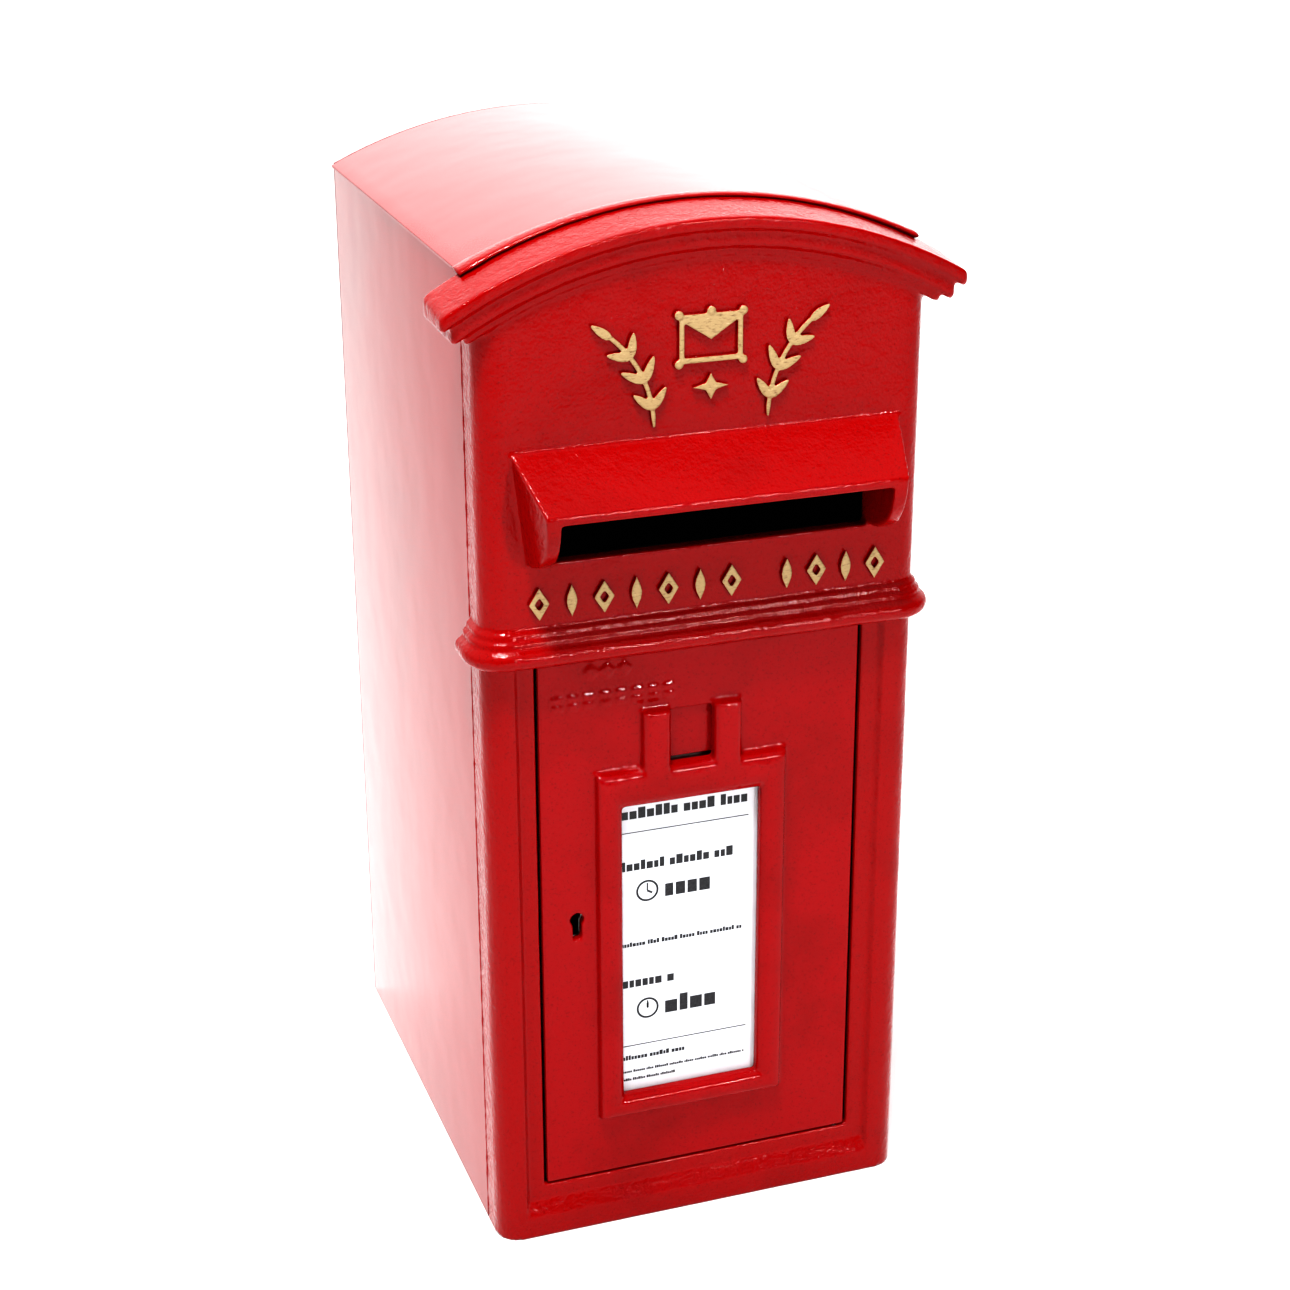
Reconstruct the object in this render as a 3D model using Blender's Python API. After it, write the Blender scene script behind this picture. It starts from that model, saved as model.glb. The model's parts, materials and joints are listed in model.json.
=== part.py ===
"""Replica wall letter box used as a money box: cast front and door on a sheet-metal body.

Lengths are in millimetres and are scaled to metres when a solid is made.
Each point is (x, depth, z): x runs to the right, depth runs back from the front
face of the casting, and z runs up from the surface that the box stands on.
"""
from math import acos, cos, hypot, pi, sin, sqrt

import bmesh
import bpy
from mathutils import Matrix

# ---------------------------------------------------------------- driving sizes
MM = 0.001
GAP = 0.3                    # clearance kept between pieces that touch

CASTING_WIDTH = 240.0
CORNER_RADIUS = 13.0         # vertical front corners of the casting
RETURN_DEPTH = 28.0          # how far the casting reaches back along the sides
CASTING_WALL = 9.5           # front wall, border included
RETURN_WALL = 6.0
BODY_DEPTH = 302.0
SHEET = 1.5

ARC_CENTRE_Z = 299.0         # the cornice mouldings share this centre
CORNICE_HALF = 138.5
CORNICE_PROJECTION = 6.0
CORNICE_CROWN = 569.7
CORNICE_BACK_CROWN = 574.3
CORNICE_BACK_RADIUS = 265.0
END_ROUND = 3.2              # bull nose at the ends of the cornice mouldings
END_STEPS = 4

ROOF_CROWN = 575.5
ROOF_RADIUS = 277.0
ROOF_HALF = 121.5

HOOD_TOP_Z = 459.5
HOOD_TOP_HALF = 104.5
HOOD_PROJECTION = 33.5
HOOD_LIP_Z = 435.7
HOOD_LIP_HALF = 96.3
HOOD_LIP_THICK = 5.2
HOOD_FOOT_Z = 401.0
HOOD_FOOT_HALF = 97.5
SLOT_HALF = 88.5
SLOT_SILL_Z = 400.5
THROAT_TOP_Z = 450.0

COURSE_BOTTOM_Z = 346.2
COURSE_PROJECTION = 9.0

DOOR_CENTRE_X = -2.0
OPENING_HALF = 91.2
OPENING_BOTTOM_Z = 31.0
OPENING_TOP_Z = 345.2
RECESS_DEPTH = 3.5
RECESS_HALF = 100.5
DOOR_THICK = 6.0
DOOR_SIDE_GAP = 1.5
HINGE_SIDE_GAP = 1.8
DOOR_BOTTOM_GAP = 0.8

NOTICE_CENTRE_X = -8.0
NOTICE_OPEN_HALF = 39.3
NOTICE_BOTTOM_Z = 81.0
NOTICE_TOP_Z = 258.0
NOTICE_BAND = 14.2           # width of the raised moulding
NOTICE_BOTTOM_BAND = 12.5
NOTICE_TOP_BAND = 20.5
MOULDING_PROUD = 6.5
TABLET_HALF = 12.2
TABLET_BAR = 15.5
TABLET_BOTTOM_Z = 279.5
TABLET_TOP_Z = 309.0

KEYHOLE_X = -72.0
KEYHOLE_Z = 193.8
KEYHOLE_RADIUS = 3.8
KEYHOLE_FOOT_Z = 182.0
KEYHOLE_SLOT_HALF = 2.5

HINGE_INSET = 5.0            # hinge axis to the door's right edge
PIN_RADIUS = 1.5

# ---------------------------------------------------------------- derived sizes
HALF = CASTING_WIDTH / 2
FRONT_Y = -(BODY_DEPTH - HOOD_PROJECTION) / 2
SHELL_FRONT = RETURN_DEPTH + GAP
BACK_FACE = BODY_DEPTH - SHEET
SHELL_BACK = BACK_FACE - GAP
DOOR_BACK = RECESS_DEPTH + DOOR_THICK
DOOR_LEFT = DOOR_CENTRE_X - OPENING_HALF + DOOR_SIDE_GAP
DOOR_RIGHT = DOOR_CENTRE_X + OPENING_HALF - HINGE_SIDE_GAP
DOOR_BOTTOM = OPENING_BOTTOM_Z + DOOR_BOTTOM_GAP
DOOR_TOP = OPENING_TOP_Z - 1.0
HINGE_X = DOOR_RIGHT - HINGE_INSET
HINGE_DEPTH = RECESS_DEPTH + DOOR_THICK / 2
PIN_HOLE = PIN_RADIUS + GAP

COLOURS = {
    "red_enamel": ((0.55, 0.004, 0.008), 0.22, 0.0),
    "gilt_paint": ((0.50, 0.34, 0.14), 0.42, 0.6),
    "card": ((0.92, 0.93, 0.95), 0.7, 0.0),
    "zinc_steel": ((0.62, 0.62, 0.60), 0.35, 1.0),
    "spring_steel": ((0.35, 0.36, 0.38), 0.3, 1.0),
    "brass": ((0.78, 0.57, 0.24), 0.3, 1.0),
}


# ---------------------------------------------------------------- mesh helpers
def material(name):
    """Return the Principled material of this name, made on first use."""
    found = bpy.data.materials.get(name)
    if found:
        return found
    colour, roughness, metallic = COLOURS[name]
    made = bpy.data.materials.new(name)
    made.use_nodes = True
    shader = made.node_tree.nodes["Principled BSDF"]
    shader.inputs["Base Color"].default_value = (*colour, 1.0)
    shader.inputs["Roughness"].default_value = roughness
    shader.inputs["Metallic"].default_value = metallic
    made.diffuse_color = (*colour, 1.0)
    return made


def solid(name, points, faces):
    """Make an object from (x, depth, z) points; its faces are turned outwards."""
    mesh = bpy.data.meshes.new(name)
    mesh.from_pydata([(x * MM, (FRONT_Y + d) * MM, z * MM) for x, d, z in points], [], faces)
    work = bmesh.new()
    work.from_mesh(mesh)
    bmesh.ops.recalc_face_normals(work, faces=work.faces)
    work.to_mesh(mesh)
    work.free()
    made = bpy.data.objects.new(name, mesh)
    bpy.context.scene.collection.objects.link(made)
    return made


def loft(name, rings, ring_ends=False):
    """Skin closed loops of equal length; ring_ends joins the last loop to the first."""
    count = len(rings[0])
    points = [point for ring in rings for point in ring]
    faces = []
    steps = len(rings) if ring_ends else len(rings) - 1
    for step in range(steps):
        low = step * count
        high = (step + 1) % len(rings) * count
        for i in range(count):
            j = (i + 1) % count
            faces.append((low + i, low + j, high + j, high + i))
    if not ring_ends:
        faces.append(tuple(range(count)))
        faces.append(tuple((len(rings) - 1) * count + i for i in range(count)))
    return solid(name, points, faces)


def box(name, x0, x1, d0, d1, z0, z1):
    return loft(name, [[(x, d0, z0), (x, d1, z0), (x, d1, z1), (x, d0, z1)] for x in (x0, x1)])


def along_x(name, samples, section):
    """Skin section(x), a closed loop of (depth, z) points, over the x samples."""
    return loft(name, [[(x, d, z) for d, z in section(x)] for x in samples])


def along_z(name, outline, z0, z1):
    """Extrude an (x, depth) outline upwards."""
    return loft(name, [[(x, d, z) for x, d in outline] for z in (z0, z1)])


def along_depth(name, outline, d0, d1):
    """Extrude an (x, z) outline backwards."""
    return loft(name, [[(x, d, z) for x, z in outline] for d in (d0, d1)])


def ring_prism(name, outer, inner, d0, d1):
    """A prism with one hole: outer and inner are (x, z) loops of equal length."""
    loops = ((outer, d0), (outer, d1), (inner, d1), (inner, d0))
    return loft(name, [[(x, d, z) for x, z in loop] for loop, d in loops], ring_ends=True)


def turned(name, centre, axis, stations, sides=16):
    """Round piece on the X, DEPTH or Z axis through centre; stations are (offset, radius)."""
    rings = []
    for offset, radius in stations:
        ring = []
        for i in range(sides):
            across = radius * cos(2 * pi * i / sides)
            up = radius * sin(2 * pi * i / sides)
            if axis == "X":
                ring.append((centre[0] + offset, centre[1] + across, centre[2] + up))
            elif axis == "DEPTH":
                ring.append((centre[0] + across, centre[1] + offset, centre[2] + up))
            else:
                ring.append((centre[0] + across, centre[1] + up, centre[2] + offset))
        rings.append(ring)
    return loft(name, rings)


def combine(target, tools, operation):
    """Boolean the tool objects into target, in order, and remove them."""
    for tool in tools:
        step = target.modifiers.new("combine", "BOOLEAN")
        step.operation = operation
        step.solver = "EXACT"
        step.object = tool
        bpy.context.view_layer.update()
        evaluated = target.evaluated_get(bpy.context.evaluated_depsgraph_get())
        result = bpy.data.meshes.new_from_object(evaluated)
        target.modifiers.clear()
        target.data = result
        bpy.data.objects.remove(tool, do_unlink=True)
    return target


def finish(made, slot, parent=None, smooth=0.6):
    """Give a piece its material, smooth shading and the empty of its joint."""
    made.data.materials.clear()
    made.data.materials.append(material(slot))
    made.data.shade_smooth()
    made.data.set_sharp_from_angle(angle=smooth)
    if parent:
        made.parent = parent
        made.matrix_parent_inverse = parent.matrix_basis.inverted()
    return made


def joint_empty(name, x, depth, z):
    made = bpy.data.objects.new(name, None)
    made.matrix_basis = Matrix.Translation((x * MM, (FRONT_Y + depth) * MM, z * MM))
    bpy.context.scene.collection.objects.link(made)
    return made


# ---------------------------------------------------------------- outlines
def arc_z(x, crown, radius):
    """Height at x of an arch with this crown height and radius."""
    return crown - radius + sqrt(radius * radius - x * x)


def moulding_z(x, radius):
    return ARC_CENTRE_Z + sqrt(radius * radius - x * x)


def spread(half, count):
    """Evenly spaced values from -half to half."""
    return [half * (2 * i / count - 1) for i in range(count + 1)]


def corner_front(x):
    """Depth of the casting's front face at x, with its rounded corners."""
    over = abs(x) - (HALF - CORNER_RADIUS)
    if over <= 0:
        return 0.0
    return CORNER_RADIUS - sqrt(max(CORNER_RADIUS ** 2 - over ** 2, 0.0))


def casting_samples():
    """x samples that follow both the corners and the arched top."""
    flat = spread(HALF - CORNER_RADIUS, 22)
    angles = [pi / 2 * i / 6 for i in range(1, 7)]
    right = [HALF - CORNER_RADIUS + CORNER_RADIUS * sin(a) for a in angles]
    return [-x for x in reversed(right)] + flat + right


def plan_path():
    """Outline of the casting in plan from left back to right back, with its normals."""
    path = [((-HALF, RETURN_DEPTH - 0.6), (-1.0, 0.0))]
    centre = HALF - CORNER_RADIUS
    for i in range(9):
        angle = pi / 2 * i / 8
        normal = (-cos(angle), -sin(angle))
        place = (-centre + CORNER_RADIUS * normal[0], CORNER_RADIUS + CORNER_RADIUS * normal[1])
        path.append((place, normal))
    mirrored = [((-x, d), (-nx, nd)) for (x, d), (nx, nd) in reversed(path)]
    return path + mirrored


def rounded_bar(half, foot, face, chamfer):
    """(across, depth) section of a raised bar: foot and face are depths."""
    return [(-half, foot), (-half, face + chamfer), (-half + chamfer, face),
            (half - chamfer, face), (half, face + chamfer), (half, foot)]


# ---------------------------------------------------------------- front casting
def cornice_member(top, bottom, half, projection, back):
    """One bull-nosed moulding of the cornice, from radius bottom to the top(x) heights."""
    flat = half - END_ROUND
    ends = [(flat + END_ROUND * sin(pi / 2 * i / END_STEPS), END_ROUND * (1 - cos(pi / 2 * i / END_STEPS)))
            for i in range(1, END_STEPS + 1)]
    samples = [(x, 0.0) for x in spread(flat, 28)]
    samples = [(-x, inset) for x, inset in reversed(ends)] + samples + ends
    insets = dict(samples)

    def section(x):
        inset = insets[x]
        low = moulding_z(x, bottom) + 0.8 * inset
        front_top, back_top = (z - 0.6 * inset for z in top(x))
        nose = min(2.0, (front_top - low) / 3)
        front = inset - projection
        return [(front, front_top), (front, low + nose), (front + nose, low), (back, low), (back, back_top)]
    return along_x("member", [x for x, _ in samples], section)


def cornice():
    crease = CORNICE_CROWN - ARC_CENTRE_Z
    top = cornice_member(
        lambda x: (moulding_z(x, crease), arc_z(x, CORNICE_BACK_CROWN, CORNICE_BACK_RADIUS)),
        crease - 7.2, CORNICE_HALF, CORNICE_PROJECTION, RETURN_DEPTH - 0.2)
    middle = cornice_member(
        lambda x: (moulding_z(x, crease - 6.8),) * 2, crease - 16.2, CORNICE_HALF - 6.0,
        CORNICE_PROJECTION - 2.3, RETURN_DEPTH - 0.4)
    lower = cornice_member(
        lambda x: (moulding_z(x, crease - 15.8),) * 2, crease - 20.7, CORNICE_HALF - 13.0,
        CORNICE_PROJECTION - 4.6, RETURN_DEPTH - 0.8)
    return top, middle, lower


def string_course():
    """Torus with two small fillets above it, wrapped round the front corners."""
    torus = 11.0
    profile = [(-3.0, COURSE_BOTTOM_Z + 0.5)]
    for i in range(7):
        angle = -pi / 2 + pi * i / 6
        profile.append((COURSE_PROJECTION - torus / 2 + torus / 2 * cos(angle),
                        COURSE_BOTTOM_Z + torus / 2 + torus / 2 * sin(angle)))
    top = COURSE_BOTTOM_Z + torus
    profile += [(2.6, top), (4.6, top + 0.6), (4.6, top + 3.2), (2.6, top + 4.2),
                (2.4, top + 7.0), (1.0, top + 8.2), (-3.0, top + 8.2)]
    rings = [[(x + nx * out, d + nd * out, z) for out, z in profile] for (x, d), (nx, nd) in plan_path()]
    return loft("course", rings)


def hood():
    """Sloping cover over the posting slot with curved cheeks."""
    rings = []
    for i in range(11):
        t = sin(pi / 2 * i / 10)
        top_half = HOOD_TOP_HALF + t * (HOOD_LIP_HALF - HOOD_TOP_HALF)
        foot_half = HOOD_FOOT_HALF + t * (HOOD_LIP_HALF - 1.0 - HOOD_FOOT_HALF)
        top_z = HOOD_TOP_Z + t * (HOOD_LIP_Z - HOOD_TOP_Z)
        lip_low = HOOD_LIP_Z - HOOD_LIP_THICK
        foot_z = lip_low - (lip_low - HOOD_FOOT_Z) * sqrt(1 - t * t)
        d = -HOOD_PROJECTION * t
        rings.append([(-top_half, d, top_z), (top_half, d, top_z),
                      (foot_half, d, foot_z), (-foot_half, d, foot_z)])
    root = [(x, 3.0, z) for x, d, z in rings[0]]
    return loft("hood", [root] + rings)


def throat():
    """The passage under the hood and through the front wall."""
    lip_low = HOOD_LIP_Z - HOOD_LIP_THICK
    stations = ((-HOOD_PROJECTION - 2.0, lip_low - 0.9), (0.0, THROAT_TOP_Z - 3.0),
                (CASTING_WALL + 2.0, THROAT_TOP_Z))
    rings = []
    for d, top_z in stations:
        rings.append([(-SLOT_HALF, d, SLOT_SILL_Z), (SLOT_HALF, d, SLOT_SILL_Z),
                      (SLOT_HALF, d, top_z), (-SLOT_HALF, d, top_z)])
    return loft("throat", rings)


def door_recess():
    """Shallow panel round the door, with a broad bevel at its foot."""
    rings = []
    for d, grow, foot_z in ((-1.0, 3.3, 9.8), (RECESS_DEPTH, 0.0, 22.0)):
        left = DOOR_CENTRE_X - RECESS_HALF - grow
        right = DOOR_CENTRE_X + RECESS_HALF + grow
        head_z = OPENING_TOP_Z + 0.4
        rings.append([(left, d, foot_z), (right, d, foot_z), (right, d, head_z), (left, d, head_z)])
    return loft("recess", rings)


BOSS_HEIGHTS = (55.0, 290.0, 505.0)
BOSS_X = 108.0
BOSS_HALF = 7.0
SCREW_RADIUS = 2.0


def front_casting():
    arch = CORNICE_CROWN - ARC_CENTRE_Z - 10.0

    def outside(x):
        front = corner_front(x)
        top = moulding_z(x, arch)
        return [(front, 0.0), (RETURN_DEPTH, 0.0), (RETURN_DEPTH, top), (front, top)]

    def inside(x):
        top = moulding_z(x, arch - 14.0)
        back = RETURN_DEPTH + 1.0
        return [(CASTING_WALL, RETURN_WALL), (back, RETURN_WALL), (back, top), (CASTING_WALL, top)]

    body = along_x("front_casting", casting_samples(), outside)
    combine(body, [*cornice(), string_course(), hood()], "UNION")
    combine(body, [along_x("cavity", spread(HALF - RETURN_WALL, 24), inside)], "DIFFERENCE")
    lugs = [
        box("lug", HINGE_X - 8, HINGE_X + 8, 5.0, 13.0, 3.0, OPENING_BOTTOM_Z + 2.0),
        box("lug", HINGE_X - 8, HINGE_X + 8, 5.0, 13.0, OPENING_TOP_Z - 2.0, OPENING_TOP_Z + 21.0),
    ]
    for side in (-1, 1):
        for z in BOSS_HEIGHTS:
            edges = sorted((side * (BOSS_X - BOSS_HALF - 1), side * (HALF - 3.0)))
            lugs.append(box("lug", *edges, 5.0, RETURN_DEPTH - 0.3, z - BOSS_HALF, z + BOSS_HALF))
    combine(body, lugs, "UNION")
    cuts = [
        throat(),
        door_recess(),
        box("opening", DOOR_CENTRE_X - OPENING_HALF, DOOR_CENTRE_X + OPENING_HALF, 1.0, 14.0,
            OPENING_BOTTOM_Z, OPENING_TOP_Z),
        turned("pivot", (HINGE_X, HINGE_DEPTH, 0.0), "Z",
               ((14.0, PIN_HOLE), (OPENING_BOTTOM_Z + 1, PIN_HOLE))),
        turned("pivot", (HINGE_X, HINGE_DEPTH, 0.0), "Z",
               ((OPENING_TOP_Z - 1, PIN_HOLE), (OPENING_TOP_Z + 18.0, PIN_HOLE))),
    ]
    for side in (-1, 1):
        for z in BOSS_HEIGHTS:
            hole = ((13.0, SCREW_RADIUS + GAP), (RETURN_DEPTH + 1, SCREW_RADIUS + GAP))
            cuts.append(turned("tapping", (side * BOSS_X, 0.0, z), "DEPTH", hole, 12))
    combine(body, cuts, "DIFFERENCE")
    finish(body, "red_enamel")


# ---------------------------------------------------------------- sheet body
SIDE_TOP_Z = 546.0
FLANGE = 16.0
BACK_SCREW_HEIGHTS = (40.0, 290.0, 520.0)
WALL_HOLE_X = 70.0
WALL_HOLE_HEIGHTS = (90.0, 470.0)
WALL_HOLE_RADIUS = 3.5


def side_panel(name, side):
    """Flat side with flanges turned inwards at the front and the back."""
    outer = HALF
    inner = HALF - SHEET
    lip = HALF - FLANGE
    outline = [(outer, SHELL_FRONT), (outer, SHELL_BACK), (lip, SHELL_BACK), (lip, SHELL_BACK - SHEET),
               (inner, SHELL_BACK - SHEET), (inner, SHELL_FRONT + SHEET),
               (lip, SHELL_FRONT + SHEET), (lip, SHELL_FRONT)]
    panel = along_z(name, [(side * x, d) for x, d in outline], 0.0, SIDE_TOP_Z)
    cuts = []
    for z in BOSS_HEIGHTS:
        hole = ((SHELL_FRONT - 1, SCREW_RADIUS + GAP), (SHELL_FRONT + SHEET + 1, SCREW_RADIUS + GAP))
        cuts.append(turned("hole", (side * BOSS_X, 0.0, z), "DEPTH", hole, 12))
    for z in BACK_SCREW_HEIGHTS:
        hole = ((SHELL_BACK - SHEET - 1, SCREW_RADIUS + GAP), (SHELL_BACK + 1, SCREW_RADIUS + GAP))
        cuts.append(turned("hole", (side * BOSS_X, 0.0, z), "DEPTH", hole, 12))
    finish(combine(panel, cuts, "DIFFERENCE"), "red_enamel")


def roof_panel():
    def section(x):
        top = arc_z(x, ROOF_CROWN, ROOF_RADIUS)
        low = arc_z(x, ROOF_CROWN - SHEET, ROOF_RADIUS - SHEET)
        return [(SHELL_FRONT, low), (SHELL_BACK, low), (SHELL_BACK, top), (SHELL_FRONT, top)]
    finish(along_x("roof_panel", spread(ROOF_HALF, 32), section), "red_enamel")


def countersink(name, x, z, grow=0.0):
    """Countersunk screw through the back panel, or its clearance hole when grow is set."""
    face = BODY_DEPTH - 0.3
    head = 4.1 + grow
    shank = SCREW_RADIUS + grow
    stations = [(SHELL_BACK - 10.0 - grow, shank), (SHELL_BACK, shank), (face, head)]
    if grow:
        stations.append((BODY_DEPTH + 1.0, head))
    return turned(name, (x, 0.0, z), "DEPTH", stations, 12)


def back_panel():
    samples = spread(HALF, 24)
    top = [(x, arc_z(x, ROOF_CROWN, ROOF_RADIUS)) for x in samples]
    panel = along_depth("back_panel", top + [(HALF, 0.0), (-HALF, 0.0)], BACK_FACE, BODY_DEPTH)
    cuts = [countersink("hole", side * BOSS_X, z, GAP) for side in (-1, 1) for z in BACK_SCREW_HEIGHTS]
    for side in (-1, 1):
        for z in WALL_HOLE_HEIGHTS:
            hole = ((BACK_FACE - 1, WALL_HOLE_RADIUS), (BODY_DEPTH + 1, WALL_HOLE_RADIUS))
            cuts.append(turned("hole", (side * WALL_HOLE_X, 0.0, z), "DEPTH", hole))
    finish(combine(panel, cuts, "DIFFERENCE"), "red_enamel")


def base_plate():
    edge = HALF - SHEET - GAP
    front = SHELL_FRONT + SHEET + GAP
    finish(box("base_plate", -edge, edge, front, SHELL_BACK - SHEET - GAP, 0.0, SHEET), "red_enamel")


def pan_screw(name, x, z, tip, face, radius, head, parent=None):
    """Pan-head screw along the depth axis: its head sits behind the face depth."""
    seat = face + GAP
    stations = ((tip, radius * 0.8), (tip + 1.0, radius), (seat, radius), (seat, head),
                (seat + head * 0.35, head), (seat + head * 0.6, head * 0.6))
    finish(turned(name, (x, 0.0, z), "DEPTH", stations, 12), "zinc_steel", parent)


def body_screws():
    number = 0
    for side in (-1, 1):
        for z in BOSS_HEIGHTS:
            number += 1
            pan_screw(f"front_screw_{number}", side * BOSS_X, z, 14.0, SHELL_FRONT + SHEET,
                      SCREW_RADIUS, 4.0)
    number = 0
    for side in (-1, 1):
        for z in BACK_SCREW_HEIGHTS:
            number += 1
            finish(countersink(f"back_screw_{number}", side * BOSS_X, z), "zinc_steel")


# ---------------------------------------------------------------- door
PLATE_BOTTOM = 66.0
PLATE_TOP = 322.0
PLATE_HALF = 50.0
PLATE_THICK = 1.2
POCKET_GROW = 4.5
POCKET_DEPTH = 5.6
CARD_FRONT = POCKET_DEPTH + GAP
CARD_THICK = 0.5
TABLET_THICK = 1.6


def notice_frame():
    """Raised moulding round the card, as a mitred rectangular frame."""
    foot = RECESS_DEPTH + 0.5
    face = RECESS_DEPTH - MOULDING_PROUD
    profile = ((0.0, foot), (0.0, face + 3.4), (0.18, face + 0.9), (0.4, face), (0.66, face),
               (0.9, face + 0.9), (1.0, face + 3.4), (1.0, foot))
    rings = []
    for share, d in profile:
        side = NOTICE_OPEN_HALF + share * NOTICE_BAND
        low = NOTICE_BOTTOM_Z - share * NOTICE_BOTTOM_BAND
        high = NOTICE_TOP_Z + share * NOTICE_TOP_BAND
        rings.append([(NOTICE_CENTRE_X - side, d, low), (NOTICE_CENTRE_X + side, d, low),
                      (NOTICE_CENTRE_X + side, d, high), (NOTICE_CENTRE_X - side, d, high)])
    return loft("moulding", rings, ring_ends=True)


def tablet_bar(side):
    centre = NOTICE_CENTRE_X + side * (TABLET_HALF + TABLET_BAR / 2)
    section = rounded_bar(TABLET_BAR / 2, RECESS_DEPTH + 0.5, RECESS_DEPTH - MOULDING_PROUD, 2.4)
    outline = [(centre + across, d) for across, d in section]
    return along_z("bar", outline, NOTICE_TOP_Z + 4.0, TABLET_TOP_Z + 2.0)


def keyhole(d0, d1, grow=0.0):
    """Keyhole prism: a round eye over a parallel slot."""
    slot = KEYHOLE_SLOT_HALF + grow
    eye = KEYHOLE_RADIUS + grow
    start = acos(-sqrt(eye * eye - slot * slot) / eye)
    outline = []
    for i in range(15):
        angle = start - 2 * start * i / 14
        outline.append((KEYHOLE_X + eye * sin(angle), KEYHOLE_Z + eye * cos(angle)))
    outline += [(KEYHOLE_X - slot, KEYHOLE_FOOT_Z - grow), (KEYHOLE_X + slot, KEYHOLE_FOOT_Z - grow)]
    return along_depth("keyhole", outline, d0, d1)


PLATE_SCREWS = [(NOTICE_CENTRE_X + side * (PLATE_HALF - 3.2), z) for side in (-1, 1) for z in (71.0, 265.0)]
LOCK_X0 = -88.5
LOCK_X1 = -62.0
LOCK_Z0 = 172.0
LOCK_Z1 = 222.0
LOCK_DEPTH = 13.0
LOCK_WALL = 1.2
LOCK_SCREW_X = -75.0
LOCK_SCREWS = [(LOCK_SCREW_X, LOCK_Z0 - 5.0), (LOCK_SCREW_X, LOCK_Z1 + 5.0)]
DOOR_SCREW_RADIUS = 1.5
PIN_HOLE_LENGTH = 17.0


def door(parent):
    leaf = box("door", DOOR_LEFT, DOOR_RIGHT, RECESS_DEPTH, DOOR_BACK, DOOR_BOTTOM, DOOR_TOP)
    combine(leaf, [notice_frame(), tablet_bar(-1), tablet_bar(1)], "UNION")
    face = RECESS_DEPTH - MOULDING_PROUD - 1
    centre = NOTICE_CENTRE_X
    cuts = [keyhole(RECESS_DEPTH - 1, DOOR_BACK + 1)]
    for half, low, high in ((NOTICE_OPEN_HALF, NOTICE_BOTTOM_Z, NOTICE_TOP_Z),
                            (TABLET_HALF, TABLET_BOTTOM_Z, TABLET_TOP_Z)):
        wide = half + POCKET_GROW
        cuts.append(box("window", centre - half, centre + half, face, DOOR_BACK + 1, low, high))
        cuts.append(box("pocket", centre - wide, centre + wide, POCKET_DEPTH, DOOR_BACK + 1,
                        low - POCKET_GROW, high + POCKET_GROW))
    for z0, z1 in ((DOOR_BOTTOM - 1, DOOR_BOTTOM + PIN_HOLE_LENGTH),
                   (DOOR_TOP - PIN_HOLE_LENGTH, DOOR_TOP + 1)):
        cuts.append(turned("pivot", (HINGE_X, HINGE_DEPTH, 0.0), "Z", ((z0, PIN_HOLE), (z1, PIN_HOLE))))
    for x, z in PLATE_SCREWS + LOCK_SCREWS:
        hole = ((5.4, DOOR_SCREW_RADIUS + GAP), (DOOR_BACK + 1, DOOR_SCREW_RADIUS + GAP))
        cuts.append(turned("tapping", (x, 0.0, z), "DEPTH", hole, 10))
    finish(combine(leaf, cuts, "DIFFERENCE"), "red_enamel", parent)


def hinge_pins():
    for name, z0, z1 in (("lower_hinge_pin", 14.6, DOOR_BOTTOM + 16.0),
                         ("upper_hinge_pin", DOOR_TOP - 16.0, OPENING_TOP_Z + 17.4)):
        tip = PIN_RADIUS * 0.6
        stations = ((z0, tip), (z0 + 0.8, PIN_RADIUS), (z1 - 0.8, PIN_RADIUS), (z1, tip))
        finish(turned(name, (HINGE_X, HINGE_DEPTH, 0.0), "Z", stations), "zinc_steel")


def notice_fittings(parent):
    inset = POCKET_GROW - GAP - 0.4
    centre = NOTICE_CENTRE_X
    half = NOTICE_OPEN_HALF + inset
    card = box("notice_card", centre - half, centre + half, CARD_FRONT, CARD_FRONT + CARD_THICK,
               NOTICE_BOTTOM_Z - inset, NOTICE_TOP_Z + inset)
    finish(card, "card", parent)
    tablet = box("tablet_plate", centre - TABLET_HALF - inset, centre + TABLET_HALF + inset, CARD_FRONT,
                 CARD_FRONT + TABLET_THICK, TABLET_BOTTOM_Z + 1.6, TABLET_TOP_Z + inset)
    finish(tablet, "red_enamel", parent)
    back = DOOR_BACK + GAP
    plate = box("card_backplate", centre - PLATE_HALF, centre + PLATE_HALF, back, back + PLATE_THICK,
                PLATE_BOTTOM, PLATE_TOP)
    cuts = []
    for x, z in PLATE_SCREWS:
        hole = ((back - 1, DOOR_SCREW_RADIUS + GAP), (back + PLATE_THICK + 1, DOOR_SCREW_RADIUS + GAP))
        cuts.append(turned("hole", (x, 0.0, z), "DEPTH", hole, 10))
    finish(combine(plate, cuts, "DIFFERENCE"), "zinc_steel", parent)
    for number, (x, z) in enumerate(PLATE_SCREWS, 1):
        pan_screw(f"backplate_screw_{number}", x, z, 5.9, back + PLATE_THICK, DOOR_SCREW_RADIUS, 2.8, parent)


# ---------------------------------------------------------------- rim lock on the door
BOLT_Z0 = 198.6
BOLT_Z1 = 209.0
BOLT_X0 = -88.0
BOLT_X1 = -66.0
BOLT_D0 = 12.6
BOLT_D1 = 16.6


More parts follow.
